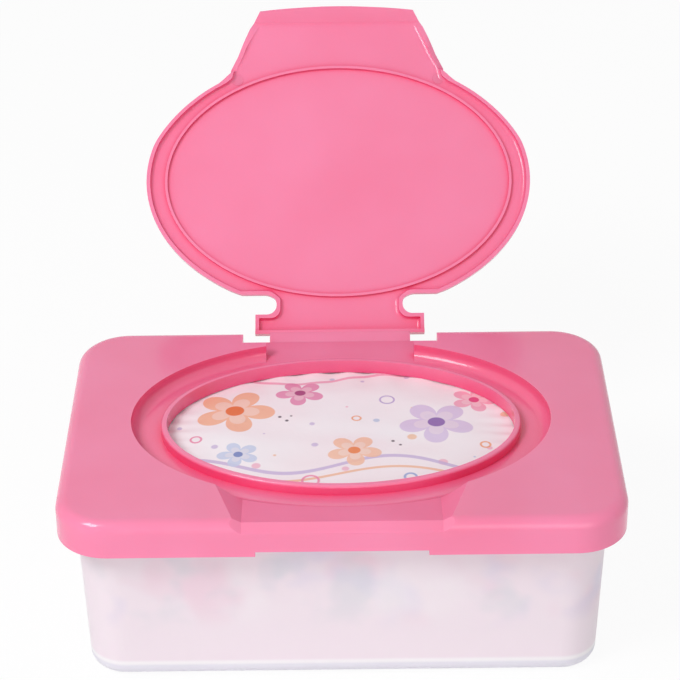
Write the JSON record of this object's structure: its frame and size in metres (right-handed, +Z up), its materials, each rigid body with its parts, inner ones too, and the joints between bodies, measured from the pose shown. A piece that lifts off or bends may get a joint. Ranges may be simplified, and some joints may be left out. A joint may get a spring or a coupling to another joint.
{
  "type": "wet wipes box",
  "caption": "Box for wet wipes: translucent tub with a film pack of wipes, push-fit lid with an oval mouth, collar and a large oval flip cap on a living hinge.",
  "frame": {"origin": "centre of the tub's underside, on the surface that the box stands on", "axes": "+X to the box's right, +Y to the rear where the cap is hinged, +Z up"},
  "size_m": [0.19, 0.2181, 0.159],
  "materials": {
    "tub_plastic": "translucent satin",
    "lid_plastic": "gloss",
    "printed_film": "printed gloss film",
    "nonwoven": "soft"
  },
  "bodies": {
    "tub": {"tub": "tub_plastic", "pack_film": "printed_film", "wipes_stack": "nonwoven"},
    "lid": {"lid": "lid_plastic", "living_hinge": "lid_plastic"},
    "cap": {"flip_cap": "lid_plastic"}
  },
  "joints": [
    {"name": "lid_lift", "type": "slide", "parent": "tub", "child": "lid", "axis": [0, 0, 1], "range_m": [0, 0.08]},
    {"name": "cap_hinge", "type": "hinge", "parent": "lid", "child": "cap", "pos_m": [0, 0.0653, 0.0628], "axis": [-1, 0, 0], "range_deg": [-132.5, 47.5], "deforming": ["living_hinge"]}
  ]
}
